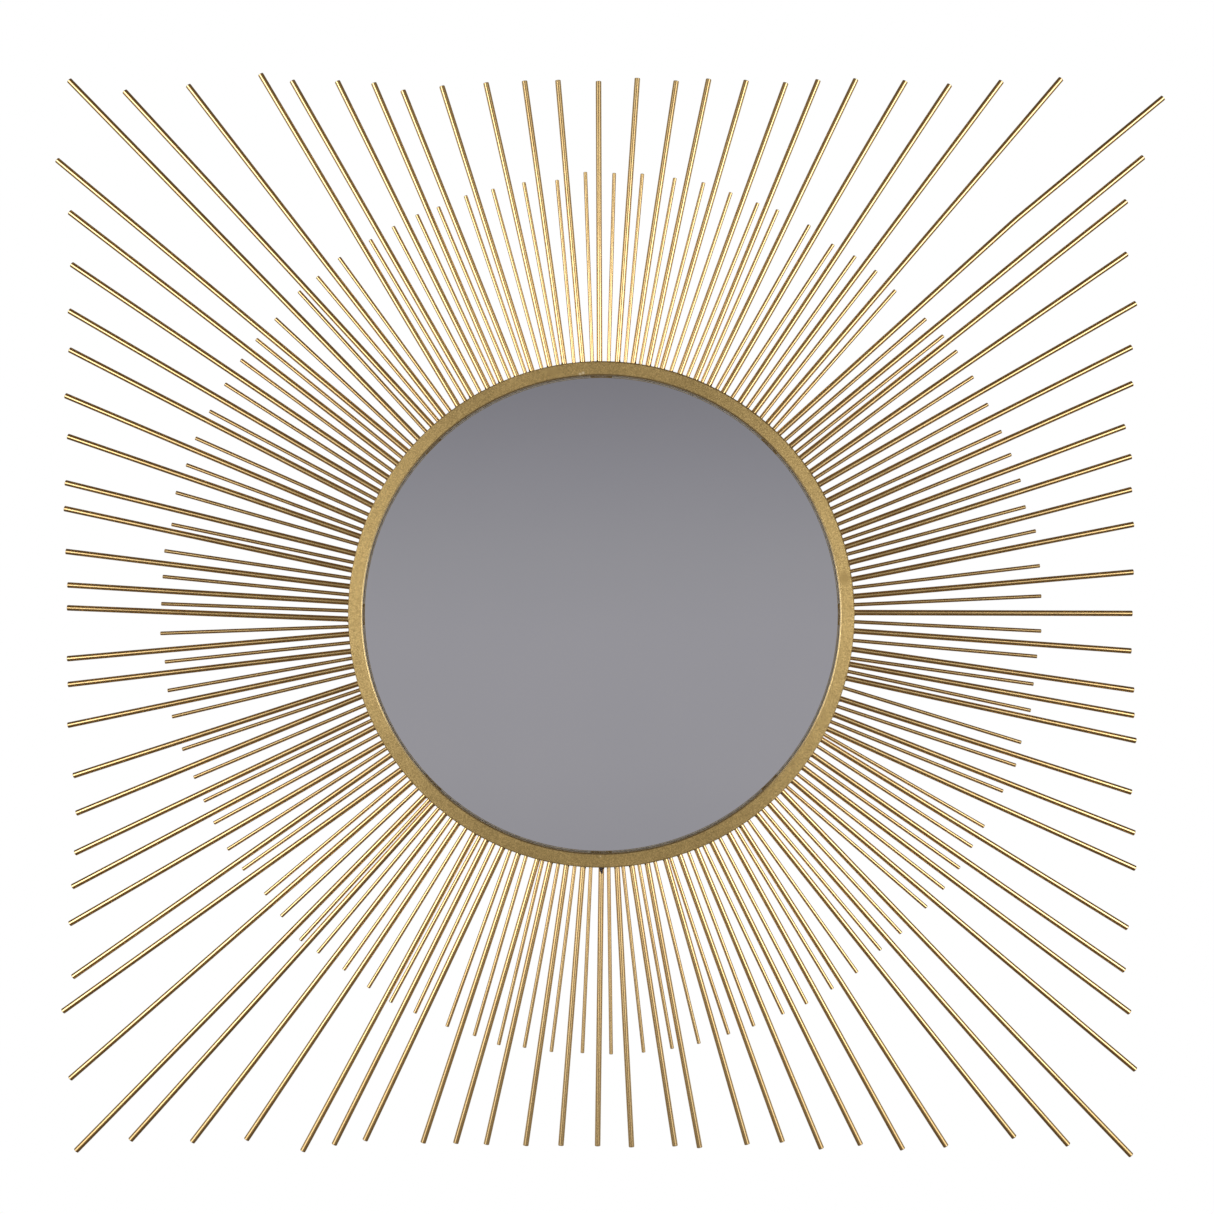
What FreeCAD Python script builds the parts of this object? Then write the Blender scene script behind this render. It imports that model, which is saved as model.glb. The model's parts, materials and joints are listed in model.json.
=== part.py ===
import FreeCAD, Part
import math
import os
import random
import re
import Sketcher

# A wall mirror with a sunburst of welded rods, in millimetres.
#
# Every piece is drawn lying on its back: local z = 0 is the wall, local +z points out of
# the wall at the viewer, and local +y is up. One placement, UPRIGHT, then stands it up, so
# that in the finished part +Z is up, the front faces -Y and the wall is the plane y = 0.
# The origin is the centre of the ring, on the wall.

Vector = FreeCAD.Vector
Rotation = FreeCAD.Rotation
Placement = FreeCAD.Placement

UPRIGHT = Placement(Vector(0, 0, 0), Rotation(Vector(1, 0, 0), 90))
FULL_TURN = 360

doc = FreeCAD.newDocument("sunburst_wall_mirror")


# ---------------------------------------------------------------- driving dimensions

DIMENSIONS = [
    # the ring, rolled from rectangular tube and welded shut
    ("ring_outer_radius", 213),
    ("ring_face_width", 12),
    ("ring_depth", 25),
    ("ring_wall", 1.5),
    ("ring_edge_round", 1.2),
    # the stack inside the ring, from the wall outwards
    ("board_radius", 200.2),
    ("board_thickness", 8),
    ("tape_thickness", 2),
    ("glass_radius", 200.3),
    ("glass_thickness", 3),
    ("glass_seam", 0.5),
    ("tape_inner_radius", 168),
    ("tape_width", 12),
    ("dab_radius", 20),
    ("dab_circle_radius", 105),
    ("dab_count", 6),
    # lugs inside the ring and the screws that hold the board to them
    ("lug_count", 8),
    ("lug_width", 18),
    ("lug_inner_radius", 184),
    ("lug_thickness", 1.2),
    ("board_screw_circle_radius", 191.5),
    ("board_screw_radius", 2),
    ("board_screw_head_radius", 3.8),
    ("board_screw_head_height", 2),
    ("board_screw_sunk", 0.2),
    ("board_screw_length", 9.4),
    ("board_cross_reach", 2.1),
    ("board_cross_half_slot", 0.45),
    ("board_cross_depth", 1.4),
    ("screw_tip_bevel", 0.8),
    ("shank_clearance", 0.2),
    ("head_clearance", 0.1),
    ("tapping_clearance", 0.02),
    ("cut_overshoot", 1),
    # keyhole hangers
    ("hanger_spacing", 200),
    ("hanger_height", 110),
    ("plate_half_length", 22),
    ("plate_half_width", 8),
    ("plate_thickness", 1.5),
    ("head_hole_radius", 4.5),
    ("keyhole_slot_radius", 2.2),
    ("keyhole_slot_rise", 8),
    ("plate_screw_offset", 17),
    ("hanger_screw_radius", 1.5),
    ("hanger_screw_head_radius", 2.9),
    ("hanger_screw_head_height", 1.2),
    ("hanger_screw_length", 6.5),
    ("hanger_cross_reach", 1.5),
    ("hanger_cross_half_slot", 0.35),
    ("hanger_cross_depth", 0.9),
    ("pilot_clearance", 0.05),
    ("pilot_extra_depth", 0.3),
    ("mortise_clearance", 0.2),
    ("pocket_half_width", 6),
    ("pocket_depth", 5),
    # the rods
    ("rod_count", 96),
    ("rod_plane", 12.5),
    ("long_rod_radius", 2.4),
    ("short_rod_radius", 1.6),
    ("short_cut", 160),
    ("rod_tip_chamfer", 0.35),
    ("root_overlap", 1.5),
    # the one rod that was knocked and bent
    ("bent_rod_foot_angle", 44.5),
    ("bent_rod_bend_angle", 46.4),
    ("bent_rod_bend_radius", 484),
    ("bent_rod_bend_setback", 6),
    ("bent_rod_tip_angle", 47.4),
    ("bent_rod_tip_radius", 645),
]

# Lengths of the long rods, from the middle of a side of the square (00) to its corner (12).
# The same thirteen lengths run back and forth eight times round the ring.
LONG_CUTS = [236.5, 240, 242.5, 247.5, 253.5, 260.5, 275.5, 288, 306, 323, 350.5, 383.5, 427.5]
for step, cut in enumerate(LONG_CUTS):
    DIMENSIONS.append((f"long_cut_{step:02d}", cut))

sizes = doc.addObject("Spreadsheet::Sheet", "Sizes")
for row, (alias, number) in enumerate(DIMENSIONS, start=1):
    sizes.set(f"A{row}", alias.replace("_", " "))
    sizes.set(f"B{row}", str(number))
    sizes.setAlias(f"B{row}", alias)
doc.recompute()


ALIASES = {alias for alias, _ in DIMENSIONS}


def bound(text):
    """An expression in the sheet's aliases, with the sheet's name put before each of them."""
    return re.sub(r"[a-z]\w*", in_sheet, text)


def in_sheet(match):
    word = match.group()
    return f"Sizes.{word}" if word in ALIASES else word


def value(text):
    """What such an expression comes to now."""
    return float(sizes.evalExpression(bound(text)))


# ---------------------------------------------------------------- sketch helpers


def new_body(label):
    body = doc.addObject("PartDesign::Body", label)
    body.Label = label
    body.Placement = UPRIGHT
    return body


def origin_feature(body, role):
    return next(item for item in body.Origin.OriginFeatures if item.Role == role)


def new_sketch(body, name, plane="XZ_Plane", lift="0"):
    """A sketch on one of the body's own planes, raised off it by the lift."""
    sketch = body.newObject("Sketcher::SketchObject", name)
    sketch.AttachmentSupport = [(origin_feature(body, plane), "")]
    sketch.MapMode = "FlatFace"
    if lift != "0":
        sketch.AttachmentOffset = Placement(Vector(0, 0, value(lift)), Rotation())
        sketch.setExpression("AttachmentOffset.Base.z", bound(lift))
    return sketch


def dimension(sketch, kind, geometry, vertex, text):
    """Ties one coordinate of a point, or a radius, to an expression in the sheet."""
    if kind == "Radius":
        index = sketch.addConstraint(Sketcher.Constraint(kind, geometry, value(text)))
    elif text == "0":
        axis = -2 if kind == "DistanceX" else -1
        sketch.addConstraint(Sketcher.Constraint("PointOnObject", geometry, vertex, axis))
        return
    else:
        index = sketch.addConstraint(
            Sketcher.Constraint(kind, -1, 1, geometry, vertex, value(text))
        )
    sketch.setExpression(f"Constraints[{index}]", bound(text))


def draw_polygon(sketch, corners):
    """Closed outline of straight lines; each corner is a pair of expressions."""
    points = [Vector(value(across), value(along), 0) for across, along in corners]
    lines = []
    for start, end in zip(points, points[1:] + points[:1]):
        lines.append(sketch.addGeometry(Part.LineSegment(start, end), False))
    for line, following in zip(lines, lines[1:] + lines[:1]):
        sketch.addConstraint(Sketcher.Constraint("Coincident", line, 2, following, 1))
    for line, (across, along) in zip(lines, corners):
        dimension(sketch, "DistanceX", line, 1, across)
        dimension(sketch, "DistanceY", line, 1, along)


def draw_circle(sketch, across, along, radius):
    centre = Vector(value(across), value(along), 0)
    circle = sketch.addGeometry(Part.Circle(centre, Vector(0, 0, 1), value(radius)), False)
    dimension(sketch, "DistanceX", circle, 3, across)
    dimension(sketch, "DistanceY", circle, 3, along)
    dimension(sketch, "Radius", circle, None, radius)


def draw_slot(sketch, across, low, high, radius):
    """Upright slot with round ends; low and high are the heights of the ends' centres."""
    x = value(across)
    bottom = value(low)
    top = value(high)
    r = value(radius)
    normal = Vector(0, 0, 1)
    upper = Part.ArcOfCircle(Part.Circle(Vector(x, top, 0), normal, r), 0, math.pi)
    lower = Part.ArcOfCircle(Part.Circle(Vector(x, bottom, 0), normal, r), math.pi, 2 * math.pi)
    top_arc = sketch.addGeometry(upper, False)
    left = sketch.addGeometry(Part.LineSegment(Vector(x - r, top, 0), Vector(x - r, bottom, 0)), False)
    bottom_arc = sketch.addGeometry(lower, False)
    right = sketch.addGeometry(Part.LineSegment(Vector(x + r, bottom, 0), Vector(x + r, top, 0)), False)
    sketch.addConstraint(Sketcher.Constraint("Tangent", top_arc, 2, left, 1))
    sketch.addConstraint(Sketcher.Constraint("Tangent", left, 2, bottom_arc, 1))
    sketch.addConstraint(Sketcher.Constraint("Tangent", bottom_arc, 2, right, 1))
    sketch.addConstraint(Sketcher.Constraint("Tangent", right, 2, top_arc, 1))
    sketch.addConstraint(Sketcher.Constraint("Equal", top_arc, bottom_arc))
    dimension(sketch, "DistanceX", top_arc, 3, across)
    dimension(sketch, "DistanceY", top_arc, 3, high)
    dimension(sketch, "DistanceX", bottom_arc, 3, across)
    dimension(sketch, "DistanceY", bottom_arc, 3, low)
    dimension(sketch, "Radius", top_arc, None, radius)


def turning_axis(sketch, across):
    """Construction line parallel to local z, to turn a hole or a screw about."""
    x = value(across)
    line = sketch.addGeometry(Part.LineSegment(Vector(x, 0, 0), Vector(x, 10, 0)), True)
    sketch.addConstraint(Sketcher.Constraint("Vertical", line))
    dimension(sketch, "DistanceX", line, 1, across)
    sketch.addConstraint(Sketcher.Constraint("PointOnObject", line, 1, -1))
    sketch.addConstraint(Sketcher.Constraint("DistanceY", line, 1, line, 2, 10))
    return (sketch, ["Axis0"])


def turned(body, kind, name, sketch, axis=None):
    """A Revolution or Groove through a full turn, about the ring's axis unless told."""
    feature = body.newObject(kind, name)
    feature.Profile = sketch
    feature.ReferenceAxis = axis or (sketch, ["V_Axis"])
    feature.Angle = FULL_TURN
    doc.recompute()
    return feature


def pushed(body, kind, name, sketch, length, reverse=False):
    """A Pad or Pocket of a given length."""
    feature = body.newObject(kind, name)
    feature.Profile = sketch
    feature.Length = value(length)
    feature.setExpression("Length", bound(length))
    feature.Reversed = reverse
    doc.recompute()
    return feature


def repeated(body, name, features, count):
    """The same features again, evenly round the body's z axis."""
    pattern = body.newObject("PartDesign::PolarPattern", name)
    pattern.Originals = features
    pattern.Axis = (origin_feature(body, "Z_Axis"), [""])
    pattern.Angle = FULL_TURN
    pattern.Occurrences = int(value(count))
    pattern.setExpression("Occurrences", bound(count))
    body.Tip = pattern
    doc.recompute()
    return pattern


def cross_outline(centre, reach, half_slot):
    """Corners of the cross in a screw head, centred that far along local x."""
    steps = [
        (reach, half_slot),
        (half_slot, half_slot),
        (half_slot, reach),
        (f"-{half_slot}", reach),
        (f"-{half_slot}", half_slot),
        (f"-{reach}", half_slot),
        (f"-{reach}", f"-{half_slot}"),
        (f"-{half_slot}", f"-{half_slot}"),
        (f"-{half_slot}", f"-{reach}"),
        (half_slot, f"-{reach}"),
        (half_slot, f"-{half_slot}"),
        (reach, f"-{half_slot}"),
    ]
    return [(f"{centre} + ({across})", along) for across, along in steps]


pieces = []  # the objects whose shapes are written out


def keep(piece):
    pieces.append(piece)
    return piece


# ---------------------------------------------------------------- ring and glass


def make_ring_frame():
    """Closed rectangular tube rolled into a ring, its outside edges rounded."""
    body = new_body("ring_frame")
    section = new_sketch(body, "tube_section")
    inner = "ring_outer_radius - ring_face_width"
    draw_polygon(
        section,
        [
            (inner, "0"),
            ("ring_outer_radius", "0"),
            ("ring_outer_radius", "ring_depth"),
            (inner, "ring_depth"),
        ],
    )
    draw_polygon(
        section,
        [
            (f"{inner} + ring_wall", "ring_wall"),
            ("ring_outer_radius - ring_wall", "ring_wall"),
            ("ring_outer_radius - ring_wall", "ring_depth - ring_wall"),
            (f"{inner} + ring_wall", "ring_depth - ring_wall"),
        ],
    )
    tube = turned(body, "PartDesign::Revolution", "rolled_tube", section)
    outside_radii = [value("ring_outer_radius"), value(inner)]
    corner_edges = [
        f"Edge{number}"
        for number, edge in enumerate(tube.Shape.Edges, start=1)
        if isinstance(edge.Curve, Part.Circle)
        and any(abs(edge.Curve.Radius - radius) < 0.01 for radius in outside_radii)
    ]
    rounding = body.newObject("PartDesign::Fillet", "tube_corners")
    rounding.Base = (tube, corner_edges)
    rounding.setExpression("Radius", bound("ring_edge_round"))
    doc.recompute()
    keep(body)


def make_mirror_glass():
    """Round looking glass with its sharp edges seamed off."""
    body = new_body("mirror_glass")
    section = new_sketch(body, "glass_section")
    back = "board_thickness + tape_thickness"
    front = f"{back} + glass_thickness"
    draw_polygon(
        section,
        [
            ("0", back),
            ("glass_radius - glass_seam", back),
            ("glass_radius", f"{back} + glass_seam"),
            ("glass_radius", f"{front} - glass_seam"),
            ("glass_radius - glass_seam", front),
            ("0", front),
        ],
    )
    turned(body, "PartDesign::Revolution", "glass_disc", section)
    keep(body)


def make_foam_tape_ring():
    body = new_body("foam_tape_ring")
    section = new_sketch(body, "tape_section")
    outer = "tape_inner_radius + tape_width"
    draw_polygon(
        section,
        [
            ("tape_inner_radius", "board_thickness"),
            (outer, "board_thickness"),
            (outer, "board_thickness + tape_thickness"),
            ("tape_inner_radius", "board_thickness + tape_thickness"),
        ],
    )
    turned(body, "PartDesign::Revolution", "tape_loop", section)
    keep(body)


def make_mastic_dabs():
    """Dabs of mirror mastic, pressed flat between board and glass."""
    body = new_body("mastic_dabs")
    outline = new_sketch(body, "dab_outline", "XY_Plane", "board_thickness")
    draw_circle(outline, "dab_circle_radius", "0", "dab_radius")
    dab = pushed(body, "PartDesign::Pad", "dab", outline, "tape_thickness")
    repeated(body, "dabs_round", [dab], "dab_count")
    keep(body)


# ---------------------------------------------------------------- board, lugs and screws


def screw_hole(body, name, circle, shank, head, head_height, plane="XZ_Plane"):
    """A countersunk through hole, cut from the wall side."""
    sketch = new_sketch(body, name + "_section", plane)
    axis = turning_axis(sketch, circle)
    through = "board_thickness + tape_thickness"
    draw_polygon(
        sketch,
        [
            (circle, "-cut_overshoot"),
            (f"{circle} + {head}", "-cut_overshoot"),
            (f"{circle} + {head}", "board_screw_sunk"),
            (f"{circle} + {shank}", f"board_screw_sunk + {head_height}"),
            (f"{circle} + {shank}", through),
            (circle, through),
        ],
    )
    return turned(body, "PartDesign::Groove", name, sketch, axis)


def make_backing_board():
    """Fibreboard disc, drilled for its screws and routed for the two keyhole plates."""
    body = new_body("backing_board")
    section = new_sketch(body, "board_section")
    draw_polygon(
        section,
        [
            ("0", "0"),
            ("board_radius", "0"),
            ("board_radius", "board_thickness"),
            ("0", "board_thickness"),
        ],
    )
    turned(body, "PartDesign::Revolution", "board_disc", section)
    hole = screw_hole(
        body,
        "board_screw_hole",
        "board_screw_circle_radius",
        "(board_screw_radius + shank_clearance)",
        "(board_screw_head_radius + head_clearance)",
        "board_screw_head_height",
    )
    repeated(body, "board_screw_holes", [hole], "lug_count")
    for side, sign in (("left", "-"), ("right", "")):
        across = f"{sign}hanger_spacing / 2"
        mortise = new_sketch(body, f"mortise_outline_{side}", "XY_Plane")
        straight = "(plate_half_length - plate_half_width)"
        draw_slot(
            mortise,
            across,
            f"hanger_height - {straight}",
            f"hanger_height + {straight}",
            "plate_half_width + mortise_clearance",
        )
        pushed(body, "PartDesign::Pocket", f"mortise_{side}", mortise, "plate_thickness", True)
        pocket = new_sketch(body, f"pocket_outline_{side}", "XY_Plane")
        draw_slot(
            pocket,
            across,
            "hanger_height",
            "hanger_height + keyhole_slot_rise",
            "pocket_half_width",
        )
        depth = "plate_thickness + pocket_depth"
        pushed(body, "PartDesign::Pocket", f"head_pocket_{side}", pocket, depth, True)
        pilots = new_sketch(body, f"pilot_outline_{side}", "XY_Plane")
        for place in ("+", "-"):
            along = f"hanger_height {place} plate_screw_offset"
            draw_circle(pilots, across, along, "hanger_screw_radius + pilot_clearance")
        depth = "hanger_screw_length + pilot_extra_depth"
        last = pushed(body, "PartDesign::Pocket", f"pilot_holes_{side}", pilots, depth, True)
    body.Tip = last
    keep(body)


def make_board_lugs():
    """Flat steel lugs welded inside the ring, each tapped for one board screw."""
    body = new_body("board_lugs")
    outline = new_sketch(body, "lug_outline", "XY_Plane", "board_thickness")
    reach = "ring_outer_radius - ring_face_width"
    half = "lug_width / 2"
    end = f"sqrt(({reach}) ^ 2 - ({half}) ^ 2)"
    draw_polygon(
        outline,
        [
            ("lug_inner_radius", f"-{half}"),
            (end, f"-{half}"),
            (end, half),
            ("lug_inner_radius", half),
        ],
    )
    lug = pushed(body, "PartDesign::Pad", "lug", outline, "lug_thickness")
    tapping = new_sketch(body, "lug_hole_outline", "XY_Plane", "board_thickness")
    tapped = "board_screw_radius + tapping_clearance"
    draw_circle(tapping, "board_screw_circle_radius", "0", tapped)
    hole = pushed(body, "PartDesign::Pocket", "lug_hole", tapping, "lug_thickness", True)
    repeated(body, "lugs_round", [lug, hole], "lug_count")
    keep(body)


def draw_screw(sketch, centre, shank, head, head_height, sunk, tip):
    """Half of a countersunk screw, its flat head towards the wall."""
    draw_polygon(
        sketch,
        [
            (centre, sunk),
            (f"{centre} + {head}", sunk),
            (f"{centre} + {shank}", f"{sunk} + {head_height}"),
            (f"{centre} + {shank}", f"{tip} - screw_tip_bevel"),
            (f"{centre} + {shank} - screw_tip_bevel", tip),
            (centre, tip),
        ],
    )


def make_board_screws():
    body = new_body("board_screws")
    section = new_sketch(body, "screw_section")
    axis = turning_axis(section, "board_screw_circle_radius")
    draw_screw(
        section,
        "board_screw_circle_radius",
        "board_screw_radius",
        "board_screw_head_radius",
        "board_screw_head_height",
        "board_screw_sunk",
        "board_screw_sunk + board_screw_length",
    )
    screw = turned(body, "PartDesign::Revolution", "screw", section, axis)
    cross = new_sketch(body, "cross_outline", "XY_Plane", "board_screw_sunk")
    corners = cross_outline(
        "board_screw_circle_radius", "board_cross_reach", "board_cross_half_slot"
    )
    draw_polygon(cross, corners)
    recess = pushed(body, "PartDesign::Pocket", "cross_recess", cross, "board_cross_depth", True)
    repeated(body, "screws_round", [screw, recess], "lug_count")
    keep(body)


# ---------------------------------------------------------------- keyhole hangers


def hanger_placement(body, sign):
    """Puts a body's own origin on the middle of the keyhole's round end."""
    across = value(f"{sign}hanger_spacing / 2")
    body.Placement = Placement(Vector(across, 0, value("hanger_height")), UPRIGHT.Rotation)
    body.setExpression("Placement.Base.x", bound(f"{sign}hanger_spacing / 2"))
    body.setExpression("Placement.Base.z", bound("hanger_height"))


def make_hanger(side, sign):
    """A keyhole plate, flush with the back of the board, and its two screws."""
    plate = new_body(f"hanger_plate_{side}")
    outline = new_sketch(plate, "plate_outline", "XY_Plane")
    straight = "plate_half_length - plate_half_width"
    draw_slot(outline, "0", f"-({straight})", straight, "plate_half_width")
    pushed(plate, "PartDesign::Pad", "plate", outline, "plate_thickness")
    head_hole = new_sketch(plate, "head_hole_outline", "XY_Plane")
    draw_circle(head_hole, "0", "0", "head_hole_radius")
    pushed(plate, "PartDesign::Pocket", "head_hole", head_hole, "plate_thickness", True)
    slot = new_sketch(plate, "slot_outline", "XY_Plane")
    draw_slot(slot, "0", "keyhole_slot_rise / 2", "keyhole_slot_rise", "keyhole_slot_radius")
    pushed(plate, "PartDesign::Pocket", "keyhole_slot", slot, "plate_thickness", True)
    hole = screw_hole(
        plate,
        "plate_screw_hole",
        "plate_screw_offset",
        "(hanger_screw_radius + head_clearance)",
        "(hanger_screw_head_radius + head_clearance)",
        "hanger_screw_head_height",
        "YZ_Plane",
    )
    repeated(plate, "plate_screw_holes", [hole], "2")
    hanger_placement(plate, sign)
    keep(plate)

    screws = new_body(f"hanger_screws_{side}")
    section = new_sketch(screws, "screw_section", "YZ_Plane")
    axis = turning_axis(section, "plate_screw_offset")
    draw_screw(
        section,
        "plate_screw_offset",
        "hanger_screw_radius",
        "hanger_screw_head_radius",
        "hanger_screw_head_height",
        "board_screw_sunk",
        "hanger_screw_length",
    )
    screw = turned(screws, "PartDesign::Revolution", "screw", section, axis)
    cross = new_sketch(screws, "cross_outline", "XY_Plane", "board_screw_sunk")
    corners = cross_outline("plate_screw_offset", "hanger_cross_reach", "hanger_cross_half_slot")
    draw_polygon(cross, [(along, across) for across, along in corners])
    recess = pushed(screws, "PartDesign::Pocket", "cross_recess", cross, "hanger_cross_depth", True)
    repeated(screws, "screws_pair", [screw, recess], "2")
    hanger_placement(screws, sign)
    keep(screws)


# ---------------------------------------------------------------- the rods

RODS = int(value("rod_count"))
HOURS = 12
RODS_PER_HOUR = RODS // HOURS
PITCH = FULL_TURN / RODS
STEPS_TO_CORNER = len(LONG_CUTS) - 1

# The rods were set by eye and welded one at a time, so none stands quite in its place,
# points quite true or is quite its nominal length. In each table below a line holds the
# eight rods of one hour, from half an hour before it, starting at twelve. The tips and feet
# are in tenths of a degree clockwise from even spacing; the trims are in millimetres, plus
# for a rod left longer than its cut.
LONG_TIPS = {
    12: (-18, -10, -7, -9, -3, 1, 5, 1),
    1: (2, 4, -4, -8, -3, -4, -6, -6),
    2: (24, 11, -7, -7, -2, -5, -10, -10),
    3: (-16, -20, -21, -8, -1, 2, 6, -5),
    4: (-17, -2, -2, -8, 8, 5, -5, -8),
    5: (6, -1, -8, 8, 6, 2, 1, -2),
    6: (-4, 8, -4, 5, 4, 6, 6, 10),
    7: (4, -1, 17, 5, -9, 3, 3, 6),
    8: (-6, 1, 11, -7, -2, -10, -19, -20),
    9: (-20, -5, 0, -10, 7, -6, -8, -1),
    10: (-12, -3, -3, 2, -3, -3, -4, -14),
    11: (1, -11, -5, 15, -1, -1, -7, -20),
}
LONG_FEET = {
    12: (-9, -5, -9, -5, -4, -1, -3, -6),
    1: (-11, -7, -6, -11, -12, -6, -4, -2),
    2: (-5, -4, -6, -5, -8, -4, -3, -1),
    3: (-4, -5, -4, -3, -4, 0, 4, 1),
    4: (-4, 7, 8, 6, -4, -2, -3, -2),
    5: (-6, -3, -4, 2, -2, 4, 4, 7),
    6: (3, 8, 6, 2, 0, 4, 4, 4),
    7: (-4, 4, 4, 7, 1, 7, 6, 4),
    8: (-8, -2, -3, 0, -4, -2, -6, -1),
    9: (-9, -5, -9, -7, -11, -10, -12, -12),
    10: (-12, -9, -12, -9, -11, -11, -11, -12),
    11: (-12, -6, -10, -8, -7, -4, -8, -8),
}
LONG_TRIMS = {
    12: (0, -1, 0, 0, 1, 1, 0, 1),
    1: (1, 2, -1, 0, 0, 0, 0, 0),
    2: (0, 3, 1, 3, 4, 1, 1, -3),
    3: (1, 0, 1, -2, -1, -4, -1, -2),
    4: (-2, -1, -1, -1, -1, -1, -4, -3),
    5: (0, 1, 0, 0, 0, -2, 0, -2),
    6: (-2, -2, -2, -2, 0, -3, -2, -2),
    7: (-3, -2, -1, 1, 0, 0, 1, 0),
    8: (-6, 0, 2, 6, 1, 2, 0, 1),
    9: (0, 0, -1, 0, 2, -1, 0, 2),
    10: (0, 2, 1, 1, -1, 1, 0, 3),
    11: (-3, 2, 4, 4, 2, 2, 0, 0),
}
SHORT_TIPS = {
    12: (-12, -8, -2, -2, -2, -3, 2, 2),
    1: (2, 2, -8, 0, 2, -3, -7, -9),
    2: (8, 2, -9, -7, -4, -2, -7, -9),
    3: (-11, -15, -7, -5, 3, -1, -2, -5),
    4: (1, -6, -6, 9, 2, -3, -7, -11),
    5: (-1, -4, 1, 2, 3, -1, 3, 0),
    6: (3, 1, 1, 6, 6, 9, 7, 3),
    7: (-1, -1, 7, 4, 1, 3, 6, -4),
    8: (-2, -4, 2, -3, -2, -8, -12, -10),
    9: (-3, -6, -6, -6, -5, -7, -11, -13),
    10: (-9, -8, -9, -7, -4, -4, -8, -9),
    11: (0, -7, -7, 2, -1, -4, -12, -11),
}
SHORT_FEET = {
    12: (-5, -5, -6, -2, -2, -2, -5, -7),
    1: (-9, -7, -9, -10, -8, -4, -3, -2),
    2: (-4, -4, -6, -6, -4, -3, -2, -2),
    3: (-6, -4, -4, -3, -2, 3, 6, -1),
    4: (0, 7, 7, 2, -5, -3, -2, -2),
    5: (-4, -2, 1, -2, 2, 5, 5, 10),
    6: (9, 8, 7, 2, 5, 4, 4, 3),
    7: (4, 5, 7, 5, 4, 7, 6, -3),
    8: (-4, -2, 1, -1, -2, -4, -4, -5),
    9: (-4, -6, -8, -9, -11, -12, -12, -13),
    10: (-8, -12, -12, -11, -12, -12, -12, -14),
    11: (-7, -8, -10, -6, -5, -5, -6, -6),
}
SHORT_TRIMS = {
    12: (-2, -2, -4, 1, 0, 1, 1, 2),
    1: (0, -1, 0, 0, -4, -2, -1, -3),
    2: (-2, 0, 1, 0, -1, -1, -1, -1),
    3: (-3, 1, 0, -1, -1, -3, -3, -1),
    4: (-2, 0, -2, -3, -3, -2, -2, -3),
    5: (-3, -4, -1, -1, -1, -2, -2, -2),
    6: (-1, -1, -1, -1, -2, -1, -1, 1),
    7: (-1, -1, -1, 0, -1, -2, 0, 2),
    8: (-1, -3, -1, 0, -1, -2, -2, -1),
    9: (0, -1, -2, 0, -1, -1, 0, -2),
    10: (1, 0, 1, 0, 0, 0, 0, -1),
    11: (1, 0, 1, -1, -1, -1, -2, -1),
}
BENT_ROD = STEPS_TO_CORNER  # the rod that points at the upper right corner

# How far a rod's tip may stand in front of the plane of the rods or behind it.
LONG_TIP_STRAY = 1.2
SHORT_TIP_STRAY = 0.8

chance = random.Random(12)


def first_rod(hour):
    """Number of the first long rod that belongs to an hour, counted from twelve o'clock."""
    return (hour * RODS_PER_HOUR - RODS_PER_HOUR // 2) % RODS


def round_clock(table):
    """A table's numbers in order round the ring, starting with rod 0 at twelve."""
    numbers = [0] * RODS
    for hour, line in table.items():
        for place, number in enumerate(line):
            numbers[(first_rod(hour) + place) % RODS] = number
    return numbers


def long_cut_name(number):
    """Which of the thirteen lengths a long rod has."""
    step = number % (2 * STEPS_TO_CORNER)
    return f"long_cut_{min(step, 2 * STEPS_TO_CORNER - step):02d}"


def on_clock(radius, angle, height):
    """A point at an angle clockwise from twelve o'clock, in local coordinates."""
    turn = math.radians(angle)
    return Vector(radius * math.sin(turn), radius * math.cos(turn), height)


def make_rod(name, radius_text, length_text, root_angle, tip_angle, tip_height):
    """One straight rod: its foot runs a little way into the ring, to be trimmed there."""
    plane = value("rod_plane")
    root = on_clock(value("ring_outer_radius"), root_angle, plane)
    tip = on_clock(value("ring_outer_radius") + value(length_text), tip_angle, plane + tip_height)
    along = tip - root
    along.normalize()
    bar = doc.addObject("Part::Cylinder", name + "_bar")
    bar.setExpression("Radius", bound(radius_text))
    bar.setExpression("Height", bound(f"{length_text} + root_overlap"))
    start = root - along * value("root_overlap")
    bar.Placement = UPRIGHT * Placement(start, Rotation(Vector(0, 0, 1), along))
    return with_chamfered_tip(name, bar)


def with_chamfered_tip(name, bar):
    """Breaks the sharp edge of the sawn end, which is a cylinder's third edge."""
    chamfer = value("rod_tip_chamfer")
    rod = doc.addObject("Part::Chamfer", name)
    rod.Base = bar
    rod.Edges = [(3, chamfer, chamfer)]
    return rod


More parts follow.
